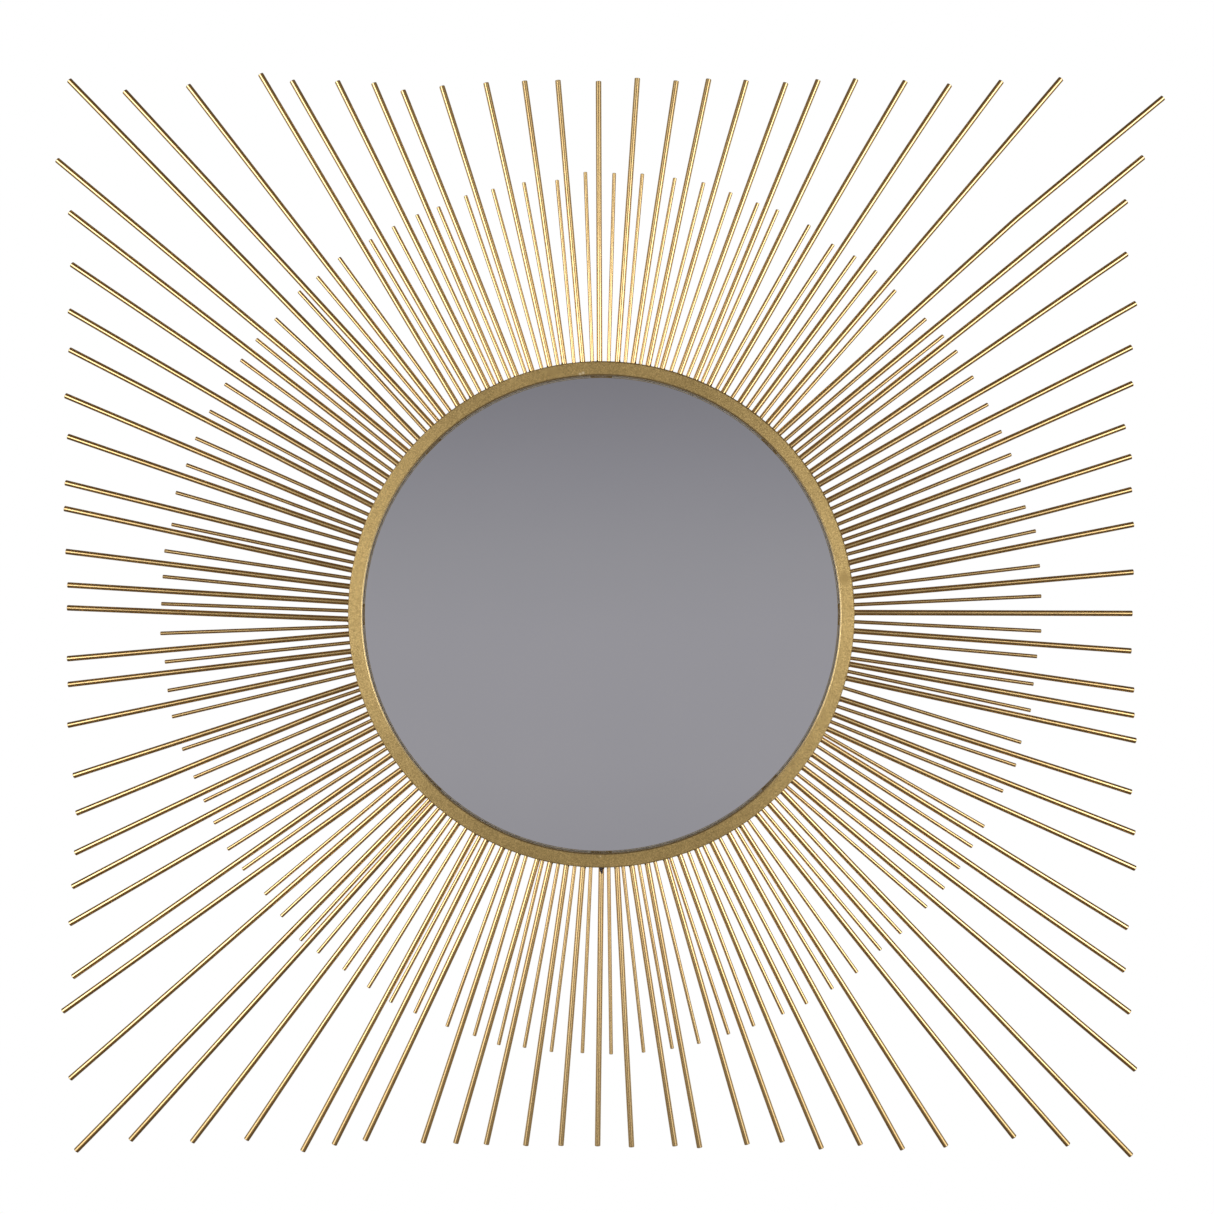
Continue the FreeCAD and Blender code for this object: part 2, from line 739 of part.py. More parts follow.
def make_bent_rod(name):
    """The corner rod that was knocked: straight, one easy bend, and straight again."""
    plane = value("rod_plane")
    root = on_clock(value("ring_outer_radius"), value("bent_rod_foot_angle"), plane)
    bend = on_clock(value("bent_rod_bend_radius"), value("bent_rod_bend_angle"), plane)
    tip = on_clock(value("bent_rod_tip_radius"), value("bent_rod_tip_angle"), plane)
    into = bend - root
    into.normalize()
    away = tip - bend
    away.normalize()
    setback = value("bent_rod_bend_setback")
    start = root - into * value("root_overlap")
    bend_in = bend - into * setback
    bend_out = bend + away * setback
    radius = setback / math.tan(into.getAngle(away) / 2)
    across = (away - into * away.dot(into)).normalize()
    centre = bend_in + across * radius
    middle = centre + (bend - centre).normalize() * radius
    path = Part.Wire(
        [
            Part.makeLine(start, bend_in),
            Part.Arc(bend_in, middle, bend_out).toShape(),
            Part.makeLine(bend_out, tip),
        ]
    )
    section = Part.Wire(Part.makeCircle(value("long_rod_radius"), start, into))
    swept = path.makePipeShell([section], True, False)
    rod = doc.addObject("Part::Feature", name)
    rod.Shape = swept
    rod.Placement = UPRIGHT
    return rod


def trimmed_group(label, rods, core):
    """One hour's rods as separate solids, their feet cut to the ring's round outside."""
    bundle = doc.addObject("Part::Compound", label + "_bundle")
    bundle.Links = rods
    group = doc.addObject("Part::Cut", label)
    group.Label = label
    group.Base = bundle
    group.Tool = core
    return keep(group)


def make_ring_core():
    """The ring's outside as a plain drum: what every rod's foot is trimmed with."""
    core = doc.addObject("Part::Cylinder", "ring_core")
    core.setExpression("Radius", bound("ring_outer_radius"))
    core.setExpression("Height", bound("ring_depth"))
    core.Placement = UPRIGHT
    return core


def make_rods():
    core = make_ring_core()
    tips = round_clock(LONG_TIPS)
    feet = round_clock(LONG_FEET)
    trims = round_clock(LONG_TRIMS)
    short_tips = round_clock(SHORT_TIPS)
    short_feet = round_clock(SHORT_FEET)
    short_trims = round_clock(SHORT_TRIMS)
    long_rods = []
    short_rods = []
    for number in range(RODS):
        pitch = number * PITCH
        name = f"long_rod_{number:02d}"
        tip_height = chance.uniform(-LONG_TIP_STRAY, LONG_TIP_STRAY)
        if number == BENT_ROD:
            long_rods.append(make_bent_rod(name))
        else:
            long_rods.append(
                make_rod(
                    name,
                    "long_rod_radius",
                    f"{long_cut_name(number)} {trims[number]:+d}",
                    pitch + feet[number] / 10,
                    pitch + tips[number] / 10,
                    tip_height,
                )
            )
        short_pitch = pitch + PITCH / 2
        short_rods.append(
            make_rod(
                f"short_rod_{number:02d}",
                "short_rod_radius",
                f"short_cut {short_trims[number]:+d}",
                short_pitch + short_feet[number] / 10,
                short_pitch + short_tips[number] / 10,
                chance.uniform(-SHORT_TIP_STRAY, SHORT_TIP_STRAY),
            )
        )
    for hour in range(1, HOURS + 1):
        numbers = [(first_rod(hour) + place) % RODS for place in range(RODS_PER_HOUR)]
        trimmed_group(f"long_rods_oclock_{hour}", [long_rods[n] for n in numbers], core)
        trimmed_group(f"short_rods_oclock_{hour}", [short_rods[n] for n in numbers], core)


# ---------------------------------------------------------------- make, check and write

make_ring_frame()
make_mirror_glass()
make_foam_tape_ring()
make_mastic_dabs()
make_backing_board()
make_board_lugs()
make_board_screws()
make_hanger("left", "-")
make_hanger("right", "")
make_rods()
doc.recompute()

for item in doc.Objects:
    if "Invalid" in item.State or "Error" in item.State:
        raise RuntimeError(f"{item.Label} did not recompute: {item.State}")

os.makedirs("parts", exist_ok=True)
for piece in pieces:
    shape = piece.Shape
    if shape.isNull() or not shape.isValid():
        raise RuntimeError(f"{piece.Label} has no valid shape")
    shape.exportStep(f"parts/{piece.Label}.step")
    box = shape.BoundBox
    print(
        f"{piece.Label}: {len(shape.Solids)} solids, {shape.Volume:.0f} mm3,"
        f" x {box.XMin:.1f} {box.XMax:.1f}, y {box.YMin:.1f} {box.YMax:.1f},"
        f" z {box.ZMin:.1f} {box.ZMax:.1f}"
    )
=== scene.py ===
# %% [markdown]
# # A sunburst wall mirror
# The mirror is a round glass in a ring of rectangular tube, with a hundred and ninety-two
# rods welded round it. The frame that is loaded here holds every solid piece at its real
# size, in metres: +Z is up, the front faces -Y and the wall is the plane y = 0. This
# script gives those pieces their finishes and adds the welds, the studio and the camera.

# %% Load the frame
import json
import math
import random

import bmesh
import bpy
from mathutils import Matrix, Vector


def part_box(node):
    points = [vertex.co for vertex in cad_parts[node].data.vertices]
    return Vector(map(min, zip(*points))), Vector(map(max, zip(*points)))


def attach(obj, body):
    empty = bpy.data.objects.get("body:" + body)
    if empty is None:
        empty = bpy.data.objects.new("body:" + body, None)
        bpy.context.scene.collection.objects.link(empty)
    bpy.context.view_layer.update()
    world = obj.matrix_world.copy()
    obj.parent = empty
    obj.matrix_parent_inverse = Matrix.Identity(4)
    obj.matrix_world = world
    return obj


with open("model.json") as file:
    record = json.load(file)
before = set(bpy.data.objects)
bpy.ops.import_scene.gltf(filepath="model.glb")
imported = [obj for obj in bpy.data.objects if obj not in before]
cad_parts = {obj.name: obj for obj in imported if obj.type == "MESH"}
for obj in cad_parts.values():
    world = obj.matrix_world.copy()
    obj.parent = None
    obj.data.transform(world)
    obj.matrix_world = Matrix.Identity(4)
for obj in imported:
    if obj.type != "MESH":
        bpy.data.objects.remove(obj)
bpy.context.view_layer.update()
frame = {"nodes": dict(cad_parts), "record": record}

nodes = frame["nodes"]
print("CAD nodes:", len(nodes))

# %% [markdown]
# ## Sizes taken from the frame
# The ring's radius and its front come from the ring's own box, so a change in the model
# moves everything that is built on them. The rods' plane, the width of the ring's face and
# the rods' radii are given here and are the same as in the model. Small sizes are
# written as a multiple of MM, because the scene itself is in metres.

# %% Sizes
MM = 0.001

ring_low, ring_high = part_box("ring_frame")
RING_OUTER = ring_high[0]
RING_FRONT = ring_low[1]
RING_FACE_WIDTH = 12 * MM
RING_INNER = RING_OUTER - RING_FACE_WIDTH
ROD_PLANE = -12.5 * MM
LONG_ROD_RADIUS = 2.4 * MM
SHORT_ROD_RADIUS = 1.6 * MM
print(f"ring radius {RING_OUTER:.4f} m, front at {RING_FRONT:.4f} m")

# %% [markdown]
# ## The camera
# A product picture of a flat thing on a wall is taken square on and from a good way back,
# so that all the rods look equally thick. The lens is worked out from two plain facts: how
# far back the camera stands, and how wide a slice of the rods' plane it has to take in.

# %% Camera
CAMERA_DISTANCE = 2.25
VIEW_WIDTH = 1.026
CAMERA_X = 4.8 * MM
CAMERA_Z = 6.2 * MM
SENSOR = 36.0

camera_data = bpy.data.cameras.new("camera")
camera_data.sensor_width = SENSOR
camera_data.lens = SENSOR * CAMERA_DISTANCE / VIEW_WIDTH
camera = bpy.data.objects.new("camera", camera_data)
camera.location = (CAMERA_X, ROD_PLANE - CAMERA_DISTANCE, CAMERA_Z)
camera.rotation_euler = (math.radians(90), 0, 0)
bpy.context.scene.collection.objects.link(camera)
bpy.context.scene.camera = camera
print(f"lens {camera_data.lens:.1f} mm")

# %% [markdown]
# ## The studio
# Polished rods show nothing of themselves: they show the room. The room has a tall soft
# panel on the left and another on the right, and is dark above and below. An upright rod
# then carries two bright bands, and a level rod has dark edges round a golden middle. The
# glass looks straight back past the camera, so the room is a plain mid grey there, a
# little darker upwards. What the camera sees behind the mirror is plain white, and a light
# path node keeps that white out of the reflections.

# %% Light
PANEL_NEAR = (0.70, -2.35)
PANEL_FAR = (1.64, -0.95)
PANEL_BOTTOM = -0.65
PANEL_TOP = 0.95
PANEL_LEVEL = 1.15
CORE_WIDTH = 0.80
CORE_HEIGHT = 1.05
CORE_MIDDLE = 0.16
CORE_LEVEL = 3.0
CORE_STANDS_OFF = 0.05


def soft_light(name, shape, middle, facing, width, height, level):
    """An area light as bright as a white surface would look under that level."""
    data = bpy.data.lights.new(name, "AREA")
    data.shape = shape
    data.size = width
    data.size_y = height
    area = width * height
    if shape == "ELLIPSE":
        area *= math.pi / 4
    data.energy = level * math.pi * area
    light = bpy.data.objects.new(name, data)
    light.location = middle
    light.rotation_euler = facing.to_track_quat("-Z", "Z").to_euler()
    bpy.context.scene.collection.objects.link(light)
    return light


def light_wall(side, word):
    """A broad panel and its brighter core; side is -1 for left and 1 for right."""
    near = Vector((PANEL_NEAR[0] * side, PANEL_NEAR[1], 0))
    far = Vector((PANEL_FAR[0] * side, PANEL_FAR[1], 0))
    across = far - near
    facing = Vector((-across.y, across.x, 0)).normalized() * side
    middle = (near + far) / 2
    middle.z = (PANEL_TOP + PANEL_BOTTOM) / 2
    height = PANEL_TOP - PANEL_BOTTOM
    soft_light("panel_" + word, "RECTANGLE", middle, facing, across.length, height, PANEL_LEVEL)
    middle = middle + facing * CORE_STANDS_OFF
    middle.z = CORE_MIDDLE
    soft_light("core_" + word, "ELLIPSE", middle, facing, CORE_WIDTH, CORE_HEIGHT, CORE_LEVEL)
    print(f"panel on the {word}: {across.length:.2f} m wide, {height:.2f} m high")


light_wall(-1, "left")
light_wall(1, "right")

# %% [markdown]
# ## The room's colours
# The room is a world shader that goes by direction. Two colour ramps run from straight down
# to straight up, one for what lies in front of the mirror and one for what lies behind it,
# and they melt into each other at the sides. Just above the middle, the one in front is a
# little darker, so the glass darkens softly towards its top.

# %% Room
ROOM_IN_FRONT = [
    (0.00, (0.085, 0.064, 0.045)),
    (0.15, (0.115, 0.087, 0.061)),
    (0.26, (0.20, 0.165, 0.13)),
    (0.34, (0.28, 0.26, 0.235)),
    (0.45, (0.305, 0.298, 0.32)),
    (0.47, (0.325, 0.317, 0.339)),
    (0.495, (0.325, 0.317, 0.34)),
    (0.51, (0.305, 0.299, 0.319)),
    (0.525, (0.266, 0.261, 0.284)),
    (0.545, (0.205, 0.20, 0.22)),
    (0.58, (0.25, 0.24, 0.23)),
    (0.66, (0.31, 0.285, 0.25)),
    (0.75, (0.20, 0.165, 0.13)),
    (0.85, (0.115, 0.087, 0.061)),
    (1.00, (0.085, 0.064, 0.045)),
]
FRONT_ENDS_AT = -0.25
BEHIND_STARTS_AT = 0.3
ROOM_BEHIND = [
    (0.00, (0.10, 0.08, 0.06)),
    (0.20, (0.16, 0.145, 0.125)),
    (0.35, (0.30, 0.285, 0.26)),
    (0.45, (0.55, 0.54, 0.52)),
    (0.55, (0.55, 0.54, 0.52)),
    (0.65, (0.30, 0.285, 0.26)),
    (0.80, (0.16, 0.145, 0.125)),
    (1.00, (0.10, 0.08, 0.06)),
]


def colours(tree, value, stops):
    """A colour ramp driven by a value; stops are (place, (red, green, blue))."""
    ramp = tree.nodes.new("ShaderNodeValToRGB")
    while len(ramp.color_ramp.elements) < len(stops):
        ramp.color_ramp.elements.new(0.5)
    for element, (place, colour) in zip(ramp.color_ramp.elements, stops):
        element.position = place
        element.color = (*colour, 1)
    tree.links.new(value, ramp.inputs["Fac"])
    return ramp.outputs["Color"]


def make_room():
    """White to the eye, grey before and behind the mirror, warm and dim above and below."""
    world = bpy.data.worlds.new("room")
    bpy.context.scene.world = world
    world.use_nodes = True
    tree = world.node_tree
    tree.nodes.clear()
    link = tree.links.new
    output = tree.nodes.new("ShaderNodeOutputWorld")
    mix = tree.nodes.new("ShaderNodeMixShader")
    path = tree.nodes.new("ShaderNodeLightPath")
    white = tree.nodes.new("ShaderNodeBackground")
    white.inputs["Color"].default_value = (1, 1, 1, 1)
    white.inputs["Strength"].default_value = 1.0
    grey = tree.nodes.new("ShaderNodeBackground")
    coordinates = tree.nodes.new("ShaderNodeTexCoord")
    split = tree.nodes.new("ShaderNodeSeparateXYZ")
    link(coordinates.outputs["Generated"], split.inputs["Vector"])
    height = tree.nodes.new("ShaderNodeMapRange")
    height.inputs["From Min"].default_value = -1
    height.inputs["From Max"].default_value = 1
    link(split.outputs["Z"], height.inputs["Value"])
    front = colours(tree, height.outputs["Result"], ROOM_IN_FRONT)
    behind = colours(tree, height.outputs["Result"], ROOM_BEHIND)
    turn = tree.nodes.new("ShaderNodeMapRange")
    turn.interpolation_type = "SMOOTHSTEP"
    turn.inputs["From Min"].default_value = FRONT_ENDS_AT
    turn.inputs["From Max"].default_value = BEHIND_STARTS_AT
    link(split.outputs["Y"], turn.inputs["Value"])
    blend = tree.nodes.new("ShaderNodeMix")
    blend.data_type = "RGBA"
    link(turn.outputs["Result"], blend.inputs["Factor"])
    link(front, blend.inputs[6])
    link(behind, blend.inputs[7])
    link(blend.outputs[2], grey.inputs["Color"])
    link(path.outputs["Is Camera Ray"], mix.inputs["Fac"])
    link(grey.outputs["Background"], mix.inputs[1])
    link(white.outputs["Background"], mix.inputs[2])
    link(mix.outputs["Shader"], output.inputs["Surface"])


make_room()
bpy.context.scene.view_settings.view_transform = "Standard"

# %% [markdown]
# ## The floor
# The mirror hangs at eye height, so the floor lies a metre and a half below its middle. It
# is only there to stand in: it is pale, matt and a little uneven in tone, and it isn't part
# of the object. The studio keeps its light on the mirror, so the floor glows a little by
# itself to stay pale, and is kept out of all reflections.

# %% Floor
EYE_HEIGHT = 1.5
FLOOR_HALF = 3.0
FLOOR_GLOW = 0.55


def make_floor():
    mesh = bpy.data.meshes.new("floor")
    shape = bmesh.new()
    bmesh.ops.create_grid(shape, x_segments=1, y_segments=1, size=FLOOR_HALF)
    bmesh.ops.translate(shape, verts=shape.verts, vec=(0, 0, -EYE_HEIGHT))
    shape.to_mesh(mesh)
    shape.free()
    floor = bpy.data.objects.new("floor", mesh)
    bpy.context.scene.collection.objects.link(floor)
    material = bpy.data.materials.new("pale floor")
    material.use_nodes = True
    tree = material.node_tree
    shader = tree.nodes["Principled BSDF"]
    shader.inputs["Roughness"].default_value = 0.7
    noise = tree.nodes.new("ShaderNodeTexNoise")
    noise.inputs["Scale"].default_value = 3
    ramp = tree.nodes.new("ShaderNodeValToRGB")
    ramp.color_ramp.elements[0].color = (0.78, 0.77, 0.75, 1)
    ramp.color_ramp.elements[1].color = (0.84, 0.83, 0.81, 1)
    tree.links.new(noise.outputs["Fac"], ramp.inputs["Fac"])
    tree.links.new(ramp.outputs["Color"], shader.inputs["Base Color"])
    tree.links.new(ramp.outputs["Color"], shader.inputs["Emission Color"])
    shader.inputs["Emission Strength"].default_value = FLOOR_GLOW
    mesh.materials.append(material)
    floor.visible_glossy = False
    return floor


make_floor()

# %% [markdown]
# ## Helpers for finishes
# A finish is a small net of nodes that ends in one shader. These helpers only save typing:
# one starts a finish, one adds a node and sets its values, and one joins a string of
# patterns to the shader's bump. All patterns read Object coordinates, which are metres in
# the frame, so a scale of 1000 means a pattern about a millimetre across.

# %% Finish helpers


def new_finish(name):
    """A material with an empty Principled shader; returns it with its tree and shader."""
    material = bpy.data.materials.new(name)
    material.use_nodes = True
    tree = material.node_tree
    return material, tree, tree.nodes["Principled BSDF"]


def add(tree, kind, **values):
    """A node of that kind with its named inputs set."""
    node = tree.nodes.new("ShaderNode" + kind)
    for key, number in values.items():
        node.inputs[key.replace("_", " ")].default_value = number
    return node


def noise_on(tree, vector, scale, detail=3.0, roughness=0.55):
    node = add(tree, "TexNoise", Scale=scale, Detail=detail, Roughness=roughness)
    tree.links.new(vector, node.inputs["Vector"])
    return node.outputs["Fac"]


def spread(tree, value, low, high, start=0.3, end=0.7):
    """Maps a pattern's middle range onto low to high."""
    node = tree.nodes.new("ShaderNodeMapRange")
    node.inputs["From Min"].default_value = start
    node.inputs["From Max"].default_value = end
    node.inputs["To Min"].default_value = low
    node.inputs["To Max"].default_value = high
    tree.links.new(value, node.inputs["Value"])
    return node.outputs["Result"]


def bump(tree, shader, layers):
    """Joins (pattern, strength, distance) layers into the shader's normal."""
    normal = None
    for pattern, strength, distance in layers:
        node = add(tree, "Bump", Strength=strength, Distance=distance)
        tree.links.new(pattern, node.inputs["Height"])
        if normal is not None:
            tree.links.new(normal, node.inputs["Normal"])
        normal = node.outputs["Normal"]
    tree.links.new(normal, shader.inputs["Normal"])


def object_place(tree):
    return tree.nodes.new("ShaderNodeTexCoord").outputs["Object"]


def round_the_clock(tree, along, around, deep):
    """Coordinates that run out along the rods, round the ring and back to the wall."""
    split = tree.nodes.new("ShaderNodeSeparateXYZ")
    tree.links.new(object_place(tree), split.inputs["Vector"])
    angle = tree.nodes.new("ShaderNodeMath")
    angle.operation = "ARCTAN2"
    tree.links.new(split.outputs["X"], angle.inputs[0])
    tree.links.new(split.outputs["Z"], angle.inputs[1])
    flat = tree.nodes.new("ShaderNodeCombineXYZ")
    tree.links.new(split.outputs["X"], flat.inputs["X"])
    tree.links.new(split.outputs["Z"], flat.inputs["Y"])
    length = tree.nodes.new("ShaderNodeVectorMath")
    length.operation = "LENGTH"
    tree.links.new(flat.outputs["Vector"], length.inputs[0])
    joined = tree.nodes.new("ShaderNodeCombineXYZ")
    tree.links.new(length.outputs["Value"], joined.inputs["X"])
    tree.links.new(angle.outputs["Value"], joined.inputs["Y"])
    tree.links.new(split.outputs["Y"], joined.inputs["Z"])
    stretch = tree.nodes.new("ShaderNodeVectorMath")
    stretch.operation = "MULTIPLY"
    stretch.inputs[1].default_value = (along, around, deep)
    tree.links.new(joined.outputs["Vector"], stretch.inputs[0])
    return stretch.outputs["Vector"]


# %% [markdown]
# ## Gold on the ring
# The ring is sprayed with a satin gold. Seen close it is not smooth: there is a fine grain
# where the metal flake dries, soft marks from the grinder under it, and faint cloudy
# patches. The grinder went round the ring, so the sheen is stretched across it, which makes
# the ring lighter at its two sides than at its top and bottom. The inner lip is rubbed
# smoother than the face, and its colour is also painted paler there as a painted highlight
# along the lip. Two or three small places have been touched up.

# %% Ring gold
# Up to this radius the lip is smoother and also carries a painted highlight in its colour.
LIP_RUBBED_AND_LIT_TO = RING_INNER + 0.9 * MM
FACE_STARTS_AT = RING_INNER + 1.6 * MM
LIGHT_MARK = (0.84, 0.70, 0.44)
DARK_PATCH = (0.38, 0.265, 0.10)

# Each touched-up place: across and up from the middle and how wide, in millimetres.
TOUCH_UPS = [
    (-17.8, 201.9, 1.6, LIGHT_MARK),
    (-15.2, 203.0, 1.6, LIGHT_MARK),
    (-0.6, -203.4, 0.9, LIGHT_MARK),
    (204.3, 30.7, 6.5, DARK_PATCH),
]


def touched_up(tree, colour, place, x, z, size, paint):
    """Lays a small dab of another colour over a finish, at one place on the ring."""
    gap = tree.nodes.new("ShaderNodeVectorMath")
    gap.operation = "DISTANCE"
    gap.inputs[1].default_value = (x * MM, RING_FRONT, z * MM)
    tree.links.new(place, gap.inputs[0])
    mix = tree.nodes.new("ShaderNodeMix")
    mix.data_type = "RGBA"
    mask = spread(tree, gap.outputs["Value"], 1, 0, size * 0.4 * MM, size * MM)
    tree.links.new(mask, mix.inputs["Factor"])
    tree.links.new(colour, mix.inputs[6])
    mix.inputs[7].default_value = (*paint, 1)
    return mix.outputs[2]


def ring_gold():
    material, tree, shader = new_finish("satin gold on the ring")
    place = object_place(tree)
    clouds = noise_on(tree, place, 28, 4)
    flake = noise_on(tree, place, 1300, 2)
    grind = noise_on(tree, round_the_clock(tree, 2600, 26, 2600), 1.0, 3)
    tone = tree.nodes.new("ShaderNodeMath")
    tone.operation = "MULTIPLY_ADD"
    tone.inputs[1].default_value = 0.85
    tree.links.new(flake, tone.inputs[0])
    tree.links.new(spread(tree, clouds, 0.045, 0.105), tone.inputs[2])
    colour = colours(
        tree,
        tone.outputs["Value"],
        [(0.28, (0.29, 0.20, 0.075)), (0.5, (0.50, 0.358, 0.142)), (0.72, (0.76, 0.56, 0.24))],
    )
    for x, z, size, paint in TOUCH_UPS:
        colour = touched_up(tree, colour, place, x, z, size, paint)
    split = tree.nodes.new("ShaderNodeSeparateXYZ")
    tree.links.new(round_the_clock(tree, 1, 1, 1), split.inputs["Vector"])
    radius = split.outputs["X"]
    rubbed = spread(tree, radius, 0.28, 1.0, LIP_RUBBED_AND_LIT_TO, FACE_STARTS_AT)
    # The lip's colour is mixed a little towards a pale gold: a painted highlight on the inner
    # lip. Its lower roughness is real.
    bare = tree.nodes.new("ShaderNodeMix")
    bare.data_type = "RGBA"
    lip_painted_highlight = spread(tree, radius, 0.12, 0.0, LIP_RUBBED_AND_LIT_TO, FACE_STARTS_AT)
    tree.links.new(lip_painted_highlight, bare.inputs["Factor"])
    tree.links.new(colour, bare.inputs[6])
    bare.inputs[7].default_value = (0.88, 0.74, 0.48, 1)
    tree.links.new(bare.outputs[2], shader.inputs["Base Color"])
    shader.inputs["Metallic"].default_value = 0.9
    rough = tree.nodes.new("ShaderNodeMath")
    rough.operation = "MULTIPLY"
    tree.links.new(spread(tree, clouds, 0.46, 0.54), rough.inputs[0])
    tree.links.new(rubbed, rough.inputs[1])
    tree.links.new(rough.outputs["Value"], shader.inputs["Roughness"])
    shader.inputs["Anisotropic"].default_value = 0.43
    shader.inputs["Anisotropic Rotation"].default_value = 0.25
    tangent = tree.nodes.new("ShaderNodeTangent")
    tangent.direction_type = "RADIAL"
    tangent.axis = "Y"
    tree.links.new(tangent.outputs["Tangent"], shader.inputs["Tangent"])
    bump(tree, shader, [(grind, 0.25, 0.00006), (flake, 0.35, 0.00004), (clouds, 0.3, 0.0003)])
    return material


# %% [markdown]
# ## Gold on the rods
# The rods are drawn bar under a glossier coat, so they are far more mirror-like than the
# ring. Drawing leaves faint lines along the bar. Their pattern is laid in coordinates that
# run out from the middle, so one finish fits rods at every angle.

# %% Rod gold


def rod_gold():
    material, tree, shader = new_finish("glossy gold on the rods")
    clouds = noise_on(tree, object_place(tree), 40, 3)
    lines = noise_on(tree, round_the_clock(tree, 9, 900, 2200), 1.0, 2)
    pits = noise_on(tree, object_place(tree), 700, 2)
    colour = colours(
        tree,
        clouds,
        [(0.2, (0.71, 0.46, 0.165)), (0.5, (0.785, 0.53, 0.20)), (0.8, (0.825, 0.58, 0.235))],
    )
    tree.links.new(colour, shader.inputs["Base Color"])
    shader.inputs["Metallic"].default_value = 1.0
    tree.links.new(spread(tree, clouds, 0.13, 0.20), shader.inputs["Roughness"])
    shader.inputs["Coat Weight"].default_value = 0.9
    shader.inputs["Coat Roughness"].default_value = 0.1
    shader.inputs["Coat IOR"].default_value = 1.8
    bump(tree, shader, [(lines, 0.05, 0.00006), (pits, 0.05, 0.00004)])
    return material


# %% [markdown]
# ## Looking glass
# A silvered glass is almost a perfect reflector, a touch cool in colour. What tells the eye
# that it is glass is a film that is hardly there: wiping leaves wide soft smears that are
# very slightly less sharp than the rest.

# %% Mirror


def looking_glass():
    material, tree, shader = new_finish("looking glass")
    smears = noise_on(tree, object_place(tree), 6, 5, 0.6)
    dust = noise_on(tree, object_place(tree), 2500, 1)
    colour = colours(tree, smears, [(0.3, (0.90, 0.91, 0.925)), (0.7, (0.925, 0.93, 0.94))])
    tree.links.new(colour, shader.inputs["Base Color"])
    shader.inputs["Metallic"].default_value = 1.0
    tree.links.new(spread(tree, smears, 0.01, 0.035), shader.inputs["Roughness"])
    bump(tree, shader, [(dust, 0.02, 0.00001)])
    return material


# %% [markdown]
# ## The back
# The board is plain fibreboard: brown, matt and flecked with fibres. Plates and screws are
# zinc plated, which is a pale grey metal with a faint cloudy bloom. Foam tape and mastic
# lie between board and glass and are seen only from the edge.

# %% Back finishes


def fibreboard():
    material, tree, shader = new_finish("fibreboard")
    place = object_place(tree)
    fibres = noise_on(tree, place, 900, 4, 0.7)
    tone = noise_on(tree, place, 18, 3)
    mixed = tree.nodes.new("ShaderNodeMath")
    mixed.operation = "MULTIPLY_ADD"
    mixed.inputs[1].default_value = 0.6
    tree.links.new(fibres, mixed.inputs[0])
    scaled = spread(tree, tone, 0.1, 0.3)
    tree.links.new(scaled, mixed.inputs[2])
    colour = colours(
        tree,
        mixed.outputs["Value"],
        [(0.3, (0.24, 0.155, 0.085)), (0.5, (0.37, 0.25, 0.145)), (0.7, (0.50, 0.36, 0.22))],
    )
    tree.links.new(colour, shader.inputs["Base Color"])
    tree.links.new(spread(tree, fibres, 0.75, 0.95), shader.inputs["Roughness"])
    bump(tree, shader, [(fibres, 0.5, 0.0002)])
    return material


def zinc(name, warm):
    material, tree, shader = new_finish(name)
    place = object_place(tree)
    bloom = noise_on(tree, place, 160, 4)
    scratches = noise_on(tree, place, 2200, 2)
    low = (0.50, 0.50, 0.48 - 0.05 * warm)
    high = (0.72, 0.72, 0.70 - 0.08 * warm)
    tree.links.new(colours(tree, bloom, [(0.3, low), (0.7, high)]), shader.inputs["Base Color"])
    shader.inputs["Metallic"].default_value = 1.0
    tree.links.new(spread(tree, bloom, 0.28, 0.45), shader.inputs["Roughness"])
    bump(tree, shader, [(scratches, 0.2, 0.00004)])
    return material


def foam():
    material, tree, shader = new_finish("foam tape")
    cells = noise_on(tree, object_place(tree), 2400, 2)
    colour = colours(tree, cells, [(0.3, (0.70, 0.70, 0.68)), (0.7, (0.86, 0.86, 0.84))])
    tree.links.new(colour, shader.inputs["Base Color"])
    shader.inputs["Roughness"].default_value = 0.85
    bump(tree, shader, [(cells, 0.6, 0.0002)])
    return material


def mastic():
    material, tree, shader = new_finish("mirror mastic")
    lumps = noise_on(tree, object_place(tree), 260, 3)
    colour = colours(tree, lumps, [(0.3, (0.56, 0.49, 0.37)), (0.7, (0.70, 0.64, 0.52))])
    tree.links.new(colour, shader.inputs["Base Color"])
    shader.inputs["Roughness"].default_value = 0.6
    bump(tree, shader, [(lumps, 0.5, 0.0004)])
    return material


# %% Put the finishes on the nodes
FINISHES = {
    "gold_ring": ring_gold(),
    "gold_rods": rod_gold(),
    "mirror_glass": looking_glass(),
    "fibreboard": fibreboard(),
    "zinc_plate": zinc("zinc on the plates", 0.3),
    "zinc_screws": zinc("zinc on the screws", 1.0),
    "foam_tape": foam(),
    "mastic": mastic(),
}

slot_of = {row["node"]: row["material_slot"] for row in frame["record"]["subparts"]}
for name, node in nodes.items():
    for place in node.material_slots:
        place.material = FINISHES[slot_of[name]]
print("finishes on", len(nodes), "nodes")

# %% [markdown]
# ## The welds at the rods' feet
# Each rod is held by a small weld on its lower side. The weld is a low lump, a few
# millimetres long, that lies partly on the rod and partly on the ring. Its dark bronze
# colour is painted shade where the rod meets the ring. The feet are found in the frame
# itself: every rod is one loose shell of its node, and its foot is the end that is nearest
# to the middle of the ring.

# %% Find the rods' feet


def shells(node):
    """The separate rods of a node, each as a list of its points."""
    shape = bmesh.new()
    shape.from_mesh(node.data)
    bmesh.ops.remove_doubles(shape, verts=shape.verts, dist=1e-6)
    seen = set()
    rods = []
    for start in shape.verts:
        if start in seen:
            continue
        seen.add(start)
        waiting = [start]
        points = []
        while waiting:
            vert = waiting.pop()
            points.append(vert.co.copy())
            for edge in vert.link_edges:
                other = edge.other_vert(vert)
                if other not in seen:
                    seen.add(other)
                    waiting.append(other)
        rods.append(points)
    shape.free()
    return rods


